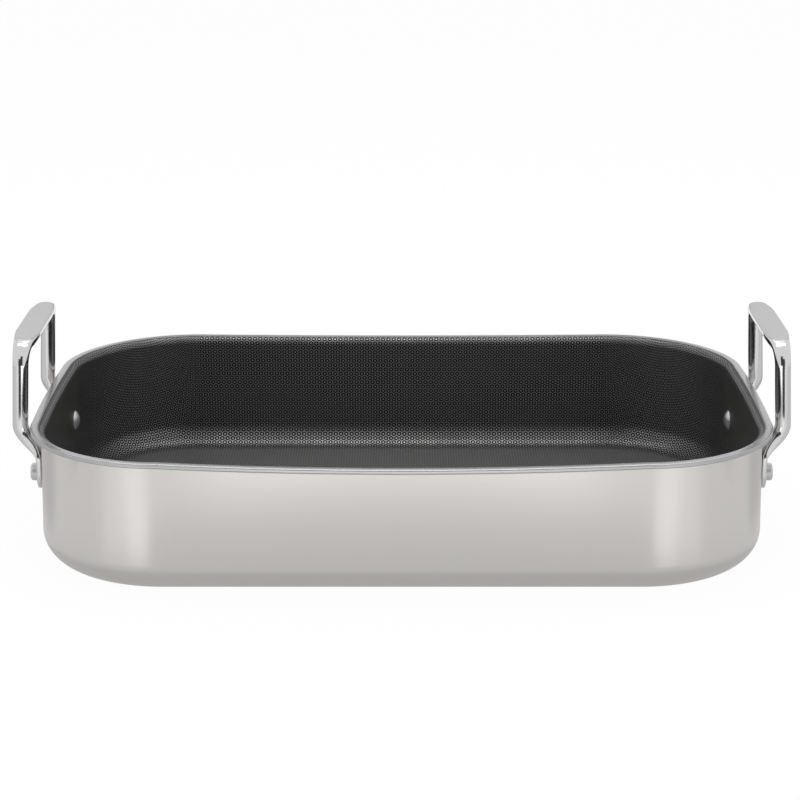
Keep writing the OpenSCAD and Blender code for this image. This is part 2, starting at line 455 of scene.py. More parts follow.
def build_handling():
    group, inside, outside = new_group(
        "handling",
        [("Vector", "NodeSocketVector", None), ("Patch size", "NodeSocketFloat", 0.03)],
        [("Patches", "NodeSocketFloat"), ("Specks", "NodeSocketFloat")])
    scale = calc(group, "DIVIDE", 1.0, inside.outputs["Patch size"])
    patches = add_node(group, "ShaderNodeTexNoise", {
        "Vector": inside.outputs["Vector"], "Scale": scale, "Detail": 4.0, "Roughness": 0.55})
    specks = add_node(group, "ShaderNodeTexNoise", {
        "Vector": inside.outputs["Vector"], "Scale": calc(group, "MULTIPLY", scale, SPECKS_PER_PATCH),
        "Detail": 2.0})
    group.links.new(patches.outputs["Fac"], outside.inputs["Patches"])
    group.links.new(specks.outputs["Fac"], outside.inputs["Specks"])
    return group


def vary(tree, noise, low, high):
    return remap(tree, noise, *NOISE_MIDDLE, low, high)


handling = build_handling()
print("group:", handling.name)

# %% [markdown]
# ## A shared effect: the honeycomb
#
# The inside of the pan is etched with small six-sided cells, each with a dot in its middle, so that food
# touches less of it. Modelled cells would cost millions of faces. Here two offset grids are wrapped
# into one cell, and the nearer centre of the two gives the place inside a hexagon.

# %% Build the honeycomb group
ROOT_THREE = math.sqrt(3)
GRID_HIGH = (0.5, ROOT_THREE / 2, 0.5)
GRID_LOW = (-0.5, -ROOT_THREE / 2, -0.5)
HALF_CELL = (0.5, ROOT_THREE / 2, 0.0)
DOT_EDGE = (0.8, 1.2)


def build_honeycomb():
    group, inside, outside = new_group(
        "honeycomb",
        [("Vector", "NodeSocketVector", None), ("Cell width", "NodeSocketFloat", 0.002),
         ("Line share", "NodeSocketFloat", 0.12), ("Dot share", "NodeSocketFloat", 0.16)],
        [("Lines", "NodeSocketFloat"), ("Dots", "NodeSocketFloat")])
    in_cells = add_node(group, "ShaderNodeVectorMath", {
        0: inside.outputs["Vector"], "Scale": calc(group, "DIVIDE", 1.0, inside.outputs["Cell width"])},
        operation="SCALE").outputs["Vector"]
    flat = vector_calc(group, "MULTIPLY", in_cells, (1.0, 1.0, 0.0))
    first = vector_calc(group, "WRAP", flat, GRID_HIGH, GRID_LOW)
    second = vector_calc(group, "WRAP", vector_calc(group, "SUBTRACT", flat, HALF_CELL), GRID_HIGH, GRID_LOW)
    first_far = vector_calc(group, "LENGTH", first, output="Value")
    second_far = vector_calc(group, "LENGTH", second, output="Value")
    second_nearer = calc(group, "LESS_THAN", second_far, first_far)
    nearest = add_node(group, "ShaderNodeMix", {0: second_nearer, 4: first, 5: second}, data_type="VECTOR")
    cell = vector_calc(group, "ABSOLUTE", nearest.outputs[1])
    slanted = vector_calc(group, "DOT_PRODUCT", cell, HALF_CELL, output="Value")
    upright = add_node(group, "ShaderNodeSeparateXYZ", {"Vector": cell}).outputs["X"]
    to_edge = calc(group, "SUBTRACT", 0.5, calc(group, "MAXIMUM", slanted, upright))
    line_half = calc(group, "MULTIPLY", inside.outputs["Line share"], 0.5)
    lines = remap(group, to_edge, line_half, calc(group, "MULTIPLY", line_half, 2.0), 1.0, 0.0)
    dot_from, dot_to = (calc(group, "MULTIPLY", inside.outputs["Dot share"], share) for share in DOT_EDGE)
    dots = remap(group, calc(group, "MINIMUM", first_far, second_far), dot_from, dot_to, 1.0, 0.0)
    group.links.new(lines, outside.inputs["Lines"])
    group.links.new(dots, outside.inputs["Dots"])
    return group


honeycomb = build_honeycomb()
print("group:", honeycomb.name)

# %% [markdown]
# ## Satin steel
#
# Bare steel is a full metal: all its colour is in its reflection. What tells its finishes apart is the
# roughness. The outside of the pan is brushed all the way round, so its reflections spread up and down
# more than sideways, which the Anisotropic socket does. Fine lines in the tone and roughness go with it.

# %% Make the satin steel of the outside
SATIN_STEEL = grey(0.62, 0.03)
SATIN_TONE = (0.98, 1.02)
SATIN_ROUGHNESS = (0.27, 0.33)
SATIN_WEAR = 0.02
SATIN_PATCH = 60 * MM
SATIN_BRUSHING = {"Lines per metre": 2600.0, "Stretch": 70.0}
BRUSHED_SPREAD = 0.5
QUARTER_TURN = 0.25


def build_satin_steel():
    material, tree, shader = new_material("satin_steel")
    where = add_node(tree, "ShaderNodeUVMap", uv_map="round").outputs["UV"]
    lines = use_group(tree, brushing, {"Vector": where, **SATIN_BRUSHING})
    wear = use_group(tree, handling, {"Vector": object_place(tree), "Patch size": SATIN_PATCH})
    tone = remap(tree, lines.outputs["Lines"], 0.0, 1.0, *SATIN_TONE)
    tones = add_node(tree, "ShaderNodeCombineXYZ", {0: tone, 1: tone, 2: tone}).outputs["Vector"]
    feed(tree, shader.inputs["Base Color"], vector_calc(tree, "MULTIPLY", SATIN_STEEL[:3], tones))
    streaks = remap(tree, lines.outputs["Streaks"], 0.0, 1.0, *SATIN_ROUGHNESS)
    patches = remap(tree, wear.outputs["Patches"], 0.0, 1.0, -SATIN_WEAR, SATIN_WEAR)
    feed(tree, shader.inputs["Roughness"], calc(tree, "ADD", streaks, patches))
    tangent = add_node(tree, "ShaderNodeTangent", direction_type="UV_MAP", uv_map="round")
    feed(tree, shader.inputs["Tangent"], tangent.outputs["Tangent"])
    shader.inputs["Metallic"].default_value = 1.0
    shader.inputs["Anisotropic"].default_value = BRUSHED_SPREAD
    shader.inputs["Anisotropic Rotation"].default_value = QUARTER_TURN
    return material


satin_steel = build_satin_steel()
print("finish:", satin_steel.name)

# %% [markdown]
# ## Polished steel
#
# The lip is polished after drawing, the rivets are tumbled, and the cut edge between the layers of the lip
# shows the aluminium core. They differ in level and roughness only, so one recipe makes all three. The lip's
# low level is painted shade, darker than the same steel on the wall.

# %% Make the finishes of the lip, the rivets and the core
POLISHED_PATCH = 25 * MM
POLISHED_SPREAD = 0.03
SPECK_HEIGHT = 0.05 * MM
POLISHED = {
    # The lip's level is painted shade, darker than the wall's steel.
    "lip_steel_painted_shade": {"level": 0.37, "roughness": (0.18, 0.23), "speckle": 0.01},
    "rivet_steel": {"level": 0.58, "roughness": (0.38, 0.44), "speckle": 0.04},
    "core_aluminium": {"level": 0.44, "roughness": (0.28, 0.36), "speckle": 0.04},
}


def build_polished(name, level, roughness, speckle):
    material, tree, shader = new_material(name)
    wear = use_group(tree, handling, {"Vector": object_place(tree), "Patch size": POLISHED_PATCH})
    patches = wear.outputs["Patches"]
    tone = vary(tree, patches, (1 - POLISHED_SPREAD) * level, (1 + POLISHED_SPREAD) * level)
    feed(tree, shader.inputs["Base Color"], even_grey(tree, tone))
    feed(tree, shader.inputs["Roughness"], vary(tree, patches, *roughness))
    bump = add_node(tree, "ShaderNodeBump", {
        "Strength": speckle, "Distance": SPECK_HEIGHT, "Height": wear.outputs["Specks"]})
    feed(tree, shader.inputs["Normal"], bump.outputs["Normal"])
    shader.inputs["Metallic"].default_value = 1.0
    return material


lip_steel_painted_shade, rivet_steel, core_aluminium = (build_polished(name, **looks) for name, looks in POLISHED.items())
print("finishes:", lip_steel_painted_shade.name, rivet_steel.name, core_aluminium.name)

# %% [markdown]
# ## The section of the sheet
#
# The pan is drawn from one flat blank. Its section is the same all the way round: floor, fillet, wall,
# and a lip that rolls outwards. A bevel on a box could round the edges, but not roll a lip. So we write
# the section once as arcs. Each layer of the clad sheet lies at its own depth below the outer surface,
# and the same section gives every layer.

# %% Write the section of the sheet
FILLET_STEPS = 20
COVE_STEPS = 14
EDGE_STEPS = 8
UNDER_LIP = PAN_HEIGHT - SHEET


def arc(centre, radius, start, end, steps):
    angles = [math.radians(start + (end - start) * i / steps) for i in range(steps + 1)]
    return [(centre[0] + radius * math.cos(a), centre[1] + radius * math.sin(a)) for a in angles]


def way_along(points):
    ways = [0.0]
    for a, b in zip(points, points[1:]):
        ways.append(ways[-1] + math.dist(a, b))
    return ways


def surface_at(depth):
    fillet = arc((-BASE_FILLET, BASE_FILLET), BASE_FILLET - depth, -90, 0, FILLET_STEPS)
    cove_centre = (LIP_UNDER_RADIUS, UNDER_LIP - LIP_UNDER_RADIUS)
    cove = arc(cove_centre, LIP_UNDER_RADIUS + depth, 180, 90, COVE_STEPS)
    return fillet + cove


def edge_between(depth_from, depth_to):
    points = []
    for i in range(EDGE_STEPS + 1):
        depth = depth_from + (depth_to - depth_from) * i / EDGE_STEPS
        into = max(0.0, LIP_EDGE_RADIUS - depth, depth - (SHEET - LIP_EDGE_RADIUS))
        cut = LIP_EDGE_RADIUS - math.sqrt(max(0.0, LIP_EDGE_RADIUS ** 2 - into ** 2))
        points.append((LIP_REACH - cut, UNDER_LIP + depth))
    return points


def layer_section(depth_from, depth_to):
    return surface_at(depth_from), edge_between(depth_from, depth_to), surface_at(depth_to)[::-1]


print("section points of a layer:", sum(len(p) for p in layer_section(0, SHEET_LAYERS["outer"])))

# %% [markdown]
# ## The dark etched coating
#
# The sheet is etched while it is flat, then drawn, then coated. So the honeycomb follows a UV map of the
# flat blank, and stretches up the wall as the real one does. The etched lines let bare metal gleam through
# the dark coating. They stop short of the lip, where the coating ends. The floor and the foot of the wall are
# painted lighter, a painted sheen.

# %% Make the dark etched coating of the inside
COATING = grey(0.012, 0.01)
# Painted sheen: the coating is lighter on the floor and up the first few millimetres of the fillet.
SHEEN_PAINTED_COATING = grey(0.085, 0.01)
SHEEN_PAINTED_BELOW = 6 * MM
COATING_SHINE = 0.18
COATING_ROUGHNESS = 0.3
COATING_PATCH = 20 * MM
ETCHED = grey(0.32, 0.01)
ETCHED_ROUGHNESS = 0.36
ETCHED_HEIGHT = 0.06 * MM
ETCHED_STRENGTH = 0.5
CELL_WIDTH = 3.3 * MM
CELL_SHARES = {"Line share": 0.065, "Dot share": 0.15}
PLAIN_BORDER = (0.7 * MM, 0.9 * MM)
FADED_SHARE = 0.7
SPECK_SHARE = 0.3
BARE_COVE_STEPS = 2
COAT_EDGE = way_along(surface_at(SHEET))[-1 - BARE_COVE_STEPS]


def build_etched_coating():
    material, tree, shader = new_material("etched_coating")
    blank = add_node(tree, "ShaderNodeUVMap", uv_map="blank").outputs["UV"]
    cells = use_group(tree, honeycomb, {"Vector": blank, "Cell width": CELL_WIDTH, **CELL_SHARES})
    up_the_wall = add_node(tree, "ShaderNodeSeparateXYZ", {
        "Vector": add_node(tree, "ShaderNodeUVMap", uv_map="round").outputs["UV"]}).outputs["Y"]
    wear = use_group(tree, handling, {"Vector": object_place(tree), "Patch size": COATING_PATCH})
    etched = calc(tree, "MAXIMUM", cells.outputs["Lines"], cells.outputs["Dots"])
    inside_border = remap(tree, calc(tree, "SUBTRACT", COAT_EDGE, up_the_wall), *PLAIN_BORDER)
    uneven = calc(tree, "MULTIPLY", vary(tree, wear.outputs["Patches"], FADED_SHARE, 1.0), inside_border)
    mask = calc(tree, "MULTIPLY", etched, uneven)
    # Painted sheen: the floor and the foot of the wall get the lighter coating colour.
    painted_sheen = remap(tree, up_the_wall, SHEEN_PAINTED_BELOW, 0.0, smooth=True)
    coat = mix_colour(tree, painted_sheen, COATING, SHEEN_PAINTED_COATING)
    feed(tree, shader.inputs["Base Color"], mix_colour(tree, mask, coat, ETCHED))
    feed(tree, shader.inputs["Roughness"], remap(tree, mask, 0.0, 1.0, COATING_ROUGHNESS, ETCHED_ROUGHNESS))
    feed(tree, shader.inputs["Metallic"], mask)
    shader.inputs["Specular IOR Level"].default_value = COATING_SHINE
    height = calc(tree, "ADD", mask, calc(tree, "MULTIPLY", wear.outputs["Specks"], SPECK_SHARE))
    bump = add_node(tree, "ShaderNodeBump", {
        "Strength": ETCHED_STRENGTH, "Distance": ETCHED_HEIGHT, "Height": height})
    feed(tree, shader.inputs["Normal"], bump.outputs["Normal"])
    return material


etched_coating = build_etched_coating()
print("finish:", etched_coating.name, "with cells of", round(CELL_WIDTH / MM, 1), "mm")

# %% [markdown]
# ## What drawing does to the rim
#
# The press pulls the sheet hardest at the corners. On the real pan the corners of the rim are drawn in
# a little, and the long sides dip in the middle. A lattice could bend a finished mesh, but a function of
# the place is exact. The pull starts at zero on the floor and grows towards the rim, so the base stays
# straight and the end walls stay flat where the handles sit.

# %% Write the pull on the rim
RIM_DIP = 1.76 * MM
LONG_SIDE_PULL = 3.9 * MM
END_PULL = 1.0 * MM
END_PULL_FROM = 51 * MM
DIP_FROM_Y = 50 * MM
DIP_EASE = 70 * MM
END_FROM_X = 110 * MM
END_EASE = 50 * MM


def ease(t):
    t = min(1.0, max(0.0, t))
    return t * t * (3 - 2 * t)


def drawn(x, y, z):
    along = min(1.0, abs(x) / FLAT_X)
    up = min(1.0, max(0.0, (z - BASE_FILLET) / (PAN_HEIGHT - BASE_FILLET)))
    end_up = ease((z - END_PULL_FROM) / (PAN_HEIGHT - END_PULL_FROM))
    on_long_side = ease((abs(y) - DIP_FROM_Y) / DIP_EASE)
    at_end = ease((abs(x) - END_FROM_X) / END_EASE)
    dip = RIM_DIP * (1 - along ** 2) * up * on_long_side
    pull = LONG_SIDE_PULL * along ** 2 * up * min(1.0, abs(y) / WALL_Y)
    end_pull = END_PULL * min(1.0, abs(y) / FLAT_Y) ** 2 * end_up * at_end
    return (x - math.copysign(end_pull, x), y - math.copysign(pull, y), z - dip)


print("the middle of a long side dips", round(RIM_DIP / MM, 1), "mm")

# %% [markdown]
# ## The way round the pan
#
# Seen from above the pan is a rectangle with round corners. We stop many times in each corner and a few
# times on each straight side, because curves need faces and straights don't. Every stop is the centre of
# its corner or side, and the direction outwards from there.

# %% Go round the pan
CORNER_STEPS = 40
LONG_STEPS = 16
END_STEPS = 8
CORNERS = ((1, 1), (-1, 1), (-1, -1), (1, -1))


def around_the_pan():
    stops = []
    for number, (side, way) in enumerate(CORNERS):
        for i in range(CORNER_STEPS + 1):
            angle = math.radians(90 * number + 90 * i / CORNER_STEPS)
            stops.append(((side * FLAT_X, way * FLAT_Y), (math.cos(angle), math.sin(angle))))
        next_side, next_way = CORNERS[(number + 1) % 4]
        steps = LONG_STEPS if next_way == way else END_STEPS
        for i in range(1, steps):
            t = i / steps
            centre = ((side + (next_side - side) * t) * FLAT_X, (way + (next_way - way) * t) * FLAT_Y)
            stops.append((centre, stops[-1][1]))
    return stops


def out_from(stop, reach):
    centre, turn = stop
    return (centre[0] + reach * turn[0], centre[1] + reach * turn[1])


print("stops round the pan:", len(around_the_pan()))

# %% [markdown]
# ## Carrying the section round
#
# At every stop the section becomes a column of points, and neighbouring columns are joined by faces. Two
# UV maps go with them. `blank` is the flat sheet before drawing, for the etched cells. `round` is the way
# round the pan and up the wall, for the brushing and for everything that depends on height. The lip stays
# bare of coating and brushing, so its faces take a finish of their own.

# %% Carry the section round the pan
FLOOR_UV_DROP = 1.0
SHARP_DEGREES = 32


def mark_sharp(bm):
    for face in bm.faces:
        face.smooth = True
    for edge in bm.edges:
        edge.smooth = edge.calc_face_angle(math.pi) < math.radians(SHARP_DEGREES)


def keep_mesh(bm, name):
    mesh = bpy.data.meshes.new(name)
    bm.to_mesh(mesh)
    bm.free()
    return add_to_scene(name, mesh)


def build_layer(name, depth_from, depth_to, bare_lip):
    lower, edge, upper = layer_section(depth_from, depth_to)
    section = lower + edge + upper
    stops = around_the_pan()
    bm = bmesh.new()
    columns = [[bm.verts.new(drawn(*out_from(stop, WALL_RADIUS + out), up)) for out, up in section]
               for stop in stops]
    blank_uv = bm.loops.layers.uv.new("blank")
    round_uv = bm.loops.layers.uv.new("round")
    ways = way_along(section)
    turned = len(lower) + len(edge) // 2
    sheet_ways = [way if i < turned else ways[-1] - way for i, way in enumerate(ways)]
    round_ways = way_along([out_from(stop, WALL_RADIUS) for stop in stops])
    round_ways.append(round_ways[-1] + 2 * FLAT_Y / END_STEPS)
    bare = range(len(lower) - 1, len(lower) + len(edge) + BARE_COVE_STEPS)
    for i, column in enumerate(columns):
        following = columns[(i + 1) % len(columns)]
        for j in range(len(section) - 1):
            face = bm.faces.new((column[j], following[j], following[j + 1], column[j + 1]))
            face.material_index = 1 if bare_lip and j in bare else 0
            for loop, (ci, cj) in zip(face.loops, ((i, j), (i + 1, j), (i + 1, j + 1), (i, j + 1))):
                reach = WALL_RADIUS - BASE_FILLET + sheet_ways[cj]
                loop[blank_uv].uv = out_from(stops[ci % len(stops)], reach)
                loop[round_uv].uv = (round_ways[ci], sheet_ways[cj])
    for row in (0, len(section) - 1):
        face = bm.faces.new([column[row] for column in columns])
        for loop in face.loops:
            loop[blank_uv].uv = loop.vert.co.xy
            loop[round_uv].uv = (loop.vert.co.x, loop.vert.co.y - FLOOR_UV_DROP)
    bmesh.ops.recalc_face_normals(bm, faces=bm.faces)
    return keep_mesh(bm, name)


print("edges that turn more than", SHARP_DEGREES, "degrees stay sharp")

# %% [markdown]
# ## Rivet holes
#
# A rivet needs a hole through the tab of the handle and through the wall. A Boolean modifier cuts it with
# a plain round cutter, and we keep the result as a mesh. The edges of the hole are then marked sharp,
# because a smooth-shaded hole would smear its shading over the flat wall.

# %% Drill the holes
RIVET_DROP = 30.8 * MM
DOME_ROOM = 2 * MM
DOME_DIAMETER = 12 * MM
SHANK_DIAMETER = 6 * MM
HOLE_CLEARANCE = 0.05 * MM
RIVET_Z = PAN_HEIGHT - RIVET_DROP
LEG_Y = FLAT_Y - DOME_DIAMETER / 2 - DOME_ROOM
TAB_THICKNESS = 3.5 * MM
DRILL_SIDES = 64
DRILL_LENGTH = 4 * (SHEET + TAB_THICKNESS)


def rivet_cutter():
    bm = bmesh.new()
    radius = SHANK_DIAMETER / 2 + HOLE_CLEARANCE
    turned = Matrix.Rotation(math.pi / 2, 4, "Y")
    for side in (-1, 1):
        for way in (-1, 1):
            place = Matrix.Translation((side * WALL_X, way * LEG_Y, RIVET_Z)) @ turned
            bmesh.ops.create_cone(bm, cap_ends=True, segments=DRILL_SIDES, radius1=radius, radius2=radius,
                                  depth=DRILL_LENGTH, matrix=place)
    return keep_mesh(bm, "cutter")


def drill(piece, cutter):
    modifier = piece.modifiers.new("rivet_holes", "BOOLEAN")
    modifier.operation = "DIFFERENCE"
    modifier.solver = "EXACT"
    modifier.object = cutter
    depsgraph = bpy.context.evaluated_depsgraph_get()
    drilled = bpy.data.meshes.new_from_object(piece.evaluated_get(depsgraph), preserve_all_data_layers=True,
                                              depsgraph=depsgraph)
    piece.modifiers.clear()
    undrilled = piece.data
    piece.data = drilled
    bpy.data.meshes.remove(undrilled)
    bm = bmesh.new()
    bm.from_mesh(drilled)
    mark_sharp(bm)
    bm.to_mesh(drilled)
    bm.free()


cutter = rivet_cutter()
print("cutter faces:", len(cutter.data.polygons))

# %% [markdown]
# ## The three layers
#
# Clad sheet is bonded before it is drawn: hard steel outside, aluminium between to spread the heat, and
# steel inside. One thick sheet would look the same from above, but the cut edge of the lip shows the
# layers, and each one is a piece of its own. So we build the three from the same section and drill them.

# %% Make the three layers of the sheet
LAYERS = (
    ("outer", "outer_steel_layer", "pan_outer_steel", "outer_steel", (satin_steel, lip_steel_painted_shade)),
    ("core", "core_layer", "pan_core", "core_aluminium", (core_aluminium,)),
    ("inner", "coated_inner_layer", "pan_inner_coated", "coated_steel", (etched_coating, lip_steel_painted_shade)),
)

depth = 0.0
for part, name, node, slot, finishes in LAYERS:
    layer = build_layer(name, depth, depth + SHEET_LAYERS[part], bare_lip=len(finishes) > 1)
    depth += SHEET_LAYERS[part]
    for finish in finishes:
        layer.data.materials.append(finish)
    drill(layer, cutter)
    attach(layer, "root")
    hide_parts(node)
    print(layer.name, "has", len(layer.data.polygons), "faces")

# %% [markdown]
# ## The loop handles
#
# Each handle is one cast bar. It starts as a flat tab that is riveted to the wall, bends outwards past
# the lip while it gets thick and round, rises as a leg, and turns into a broad grip with a flat ground on
# top. Legs, bends and grip could be joined from separate solids, but seams would show in the polish. A
# loft along one centre line keeps the flow of the casting. These are its sizes.

# %% Name the sizes of the handle
GRIP_RISE = 42.2 * MM
GRIP_WIDTH = 13.4 * MM
GRIP_DEPTH = 7 * MM
GRIP_SIDE = 0.5 * MM
GRIP_FULL_SHARE = 0.55
FLAT_CUT = 0.8 * MM
LEG_AWAY = 8.4 * MM
LEG_ALONG = 8 * MM
BEND_RADIUS = 10 * MM
LIP_GAP = 2.2 * MM
FOOT_DROP = 3.6 * MM
LEAN = math.radians(3)
TAB_WIDTH = 17.8 * MM

TAB_TOP = RIVET_Z + TAB_WIDTH / 2
FOOT_Z = PAN_HEIGHT - FOOT_DROP
FLAT_Z = PAN_HEIGHT + GRIP_RISE
BEND_Z = FLAT_Z - (BEND_RADIUS + LEG_ALONG / 2 - FLAT_CUT) * math.cos(LEAN)
TAB_X = WALL_X + TAB_THICKNESS / 2
LEG_OUT = HALF_LENGTH + LIP_GAP + LEG_AWAY / 2
TOP_HALF = LEG_Y - BEND_RADIUS
BEND_LENGTH = BEND_RADIUS * math.pi / 2
WIDEN_LENGTH = BEND_LENGTH + TOP_HALF * (1 - GRIP_FULL_SHARE)
LEAN_UP = Vector((-math.sin(LEAN), 0, math.cos(LEAN)))
LEAN_OUT = Vector((math.cos(LEAN), 0, math.sin(LEAN)))
print(f"handle: {2000 * LEG_Y:.0f} mm between the legs, flat {1000 * GRIP_RISE:.1f} mm above the lip")

# %% [markdown]
# ## The centre line of a handle
#
# We follow one half of the loop from the foot of its tab to the middle of its grip, and mirror it. Each
# station on the way says where it is, how deep and how wide the bar is there, how square its section is,
# and how far it has become a grip. Soft blends between them make the S-bend above the tab.

# %% Follow the centre line
SQUARENESS = {"tab": 5.0, "bar": 2.3, "grip": 3.0, "under": 1.9}
THICK_SHARE = 0.7
NARROW_SHARE = 0.8
ROUND_SHARE = 0.75
STEPS = {"tab": 16, "s_bend": 36, "leg": 26, "bend": 40, "grip": 44}


def blend(a, b, t):
    return a + (b - a) * t


def leg_x(z):
    return LEG_OUT + (FOOT_Z - z) * math.tan(LEAN)


def station(x, y, z, away, across, square, grip=0.0):
    return {"at": Vector((x, y, z)), "away": away / 2, "across": across / 2, "square": square, "grip": grip}


def grip_station(y, z, way):
    grip = ease(way / WIDEN_LENGTH)
    return station(leg_x(z), y, z, blend(LEG_AWAY, GRIP_WIDTH, grip), LEG_ALONG,
                   blend(SQUARENESS["bar"], SQUARENESS["grip"], grip), grip)


def half_handle():
    line = []
    for i in range(1, STEPS["tab"] + 1):
        angle = math.pi / 2 * i / STEPS["tab"]
        line.append(station(TAB_X, LEG_Y, RIVET_Z - TAB_WIDTH / 2 * math.cos(angle), TAB_THICKNESS,
                            TAB_WIDTH * math.sin(angle), SQUARENESS["tab"]))
    for i in range(STEPS["s_bend"] + 1):
        t = i / STEPS["s_bend"]
        z = blend(TAB_TOP, FOOT_Z, t)
        line.append(station(blend(TAB_X, leg_x(z), ease(t)), LEG_Y, z,
                            blend(TAB_THICKNESS, LEG_AWAY, ease(t / THICK_SHARE)),
                            blend(TAB_WIDTH, LEG_ALONG, ease(t / NARROW_SHARE)),
                            blend(SQUARENESS["tab"], SQUARENESS["bar"], ease(t / ROUND_SHARE))))
    for i in range(1, STEPS["leg"]):
        z = blend(FOOT_Z, BEND_Z, i / STEPS["leg"])
        line.append(station(leg_x(z), LEG_Y, z, LEG_AWAY, LEG_ALONG, SQUARENESS["bar"]))
    for i in range(STEPS["bend"] + 1):
        angle = math.pi / 2 * i / STEPS["bend"]
        line.append(grip_station(LEG_Y - BEND_RADIUS * (1 - math.cos(angle)),
                                 BEND_Z + BEND_RADIUS * math.sin(angle), BEND_RADIUS * angle))
    for i in range(1, STEPS["grip"] + 1):
        way = TOP_HALF * i / STEPS["grip"]
        line.append(grip_station(TOP_HALF - way, BEND_Z + BEND_RADIUS, BEND_LENGTH + way))
    return line


def whole_handle():
    half = half_handle()
    mirrored = [dict(s, at=Vector((s["at"].x, -s["at"].y, s["at"].z))) for s in reversed(half[:-1])]
    return half + mirrored


print("stations along a handle:", len(whole_handle()))

# %% [markdown]
# ## The section of a handle
#
# The section is a superellipse, which goes from an oval to a rounded square with one number. A grip is flat
# above and full below, so its upper and lower half have their own heights. The points are spaced evenly
# along the outline, or the corners of the tab would get none. The grip is ground flat last, as on a belt,
# by pressing every point above the flat down to it with a slightly rounded edge.

# %% Shape the section of the handle
RING_POINTS = 88
OUTLINE_SAMPLES = 720
FLAT_SOFTNESS = 0.22 * MM
FLAT_HEIGHT = Vector((leg_x(FLAT_Z), 0, FLAT_Z)).dot(LEAN_UP)
TINY = 1e-12


def signed_power(value, exponent):
    return math.copysign(abs(value) ** (2 / exponent), value)


def section_point(s, angle):
    widest = s["grip"] * (s["across"] - FLAT_CUT - GRIP_SIDE)
    if math.sin(angle) > 0:
        rise = (s["across"] - widest) * signed_power(math.sin(angle), s["square"])
    else:
        below = blend(s["across"], GRIP_DEPTH - GRIP_SIDE, s["grip"])
        rise = below * signed_power(math.sin(angle), blend(s["square"], SQUARENESS["under"], s["grip"]))
    return s["away"] * signed_power(math.cos(angle), s["square"]), widest + rise


def spaced_section(s):
    rough = [section_point(s, 2 * math.pi * i / OUTLINE_SAMPLES) for i in range(OUTLINE_SAMPLES + 1)]
    ways = way_along(rough)
    spaced = []
    at = 0
    for k in range(RING_POINTS):
        goal = ways[-1] * k / RING_POINTS
        while ways[at + 1] < goal:
            at += 1
        t = (goal - ways[at]) / max(ways[at + 1] - ways[at], TINY)
        spaced.append((blend(rough[at][0], rough[at + 1][0], t), blend(rough[at][1], rough[at + 1][1], t)))
    return spaced


def press_to_flat(point):
    low = FLAT_HEIGHT - point.dot(LEAN_UP)
    if abs(low) < FLAT_SOFTNESS:
        kept = (low + FLAT_SOFTNESS) ** 2 / (4 * FLAT_SOFTNESS)
    else:
        kept = max(low, 0.0)
    return point + (low - kept) * LEAN_UP


print("points round a handle:", RING_POINTS)

# %% [markdown]
# ## The loft
#
# At each station the section stands square to the way ahead, and rings of points are joined to a skin. The
# ring must not spin from one station to the next. Its outward axis is taken from the lean of the handle
# each time, which holds it steady through the bends.

# %% Loft the handle
def build_handle(name, side):
    line = whole_handle()
    bm = bmesh.new()
    rings = []
    for i, s in enumerate(line):
        ahead = (line[min(i + 1, len(line) - 1)]["at"] - line[max(i - 1, 0)]["at"]).normalized()
        out = (LEAN_OUT - LEAN_OUT.dot(ahead) * ahead).normalized()
        over = ahead.cross(out)
        ring = []
        for across, rise in spaced_section(s):
            point = press_to_flat(s["at"] + across * out + rise * over)
            ring.append(bm.verts.new((side * point.x, point.y, point.z)))
        rings.append(ring)
    for ring, following in zip(rings, rings[1:]):
        for k in range(RING_POINTS):
            m = (k + 1) % RING_POINTS
            bm.faces.new((ring[k], following[k], following[m], ring[m]))
    for ring in (rings[0], rings[-1]):
        bm.faces.new(ring)
    bmesh.ops.recalc_face_normals(bm, faces=bm.faces)
    return keep_mesh(bm, name)


print("flat of the grip at", round(FLAT_Z / MM, 1), "mm")

# %% [markdown]
# ## The finish of the handles
#
# The handles are mirror-polished all over, and the flat on top is brushed satin. Two materials would need
# Two materials would need the flat's faces picked out. Instead one material measures each point's height
# along the lean of the handle, and turns from polish to satin in the last half millimetre below the flat. The
# satin roughness there is real, and the darker colour of the flat is painted shade.

# %% Make the handle's finish and both handles
HANDLE_STEEL = 0.62
# Painted shade: the flat on top gets a darker colour than the same steel round it.
FLAT_PAINTED_SHADE_STEEL = 0.42
HANDLE_TONE = (0.98, 1.02)
HANDLE_PATCH = 30 * MM
POLISH_ROUGHNESS = (0.11, 0.14)
FLAT_ROUGHNESS = (0.34, 0.42)
FLAT_BRUSHING = {"Lines per metre": 3000.0, "Stretch": 12.0}
SATIN_FROM = FLAT_HEIGHT - 0.5 * MM
SATIN_FULL = FLAT_HEIGHT - 0.3 * MM
GRAIN_STRENGTH = 0.2
GRAIN_HEIGHT = 0.01 * MM


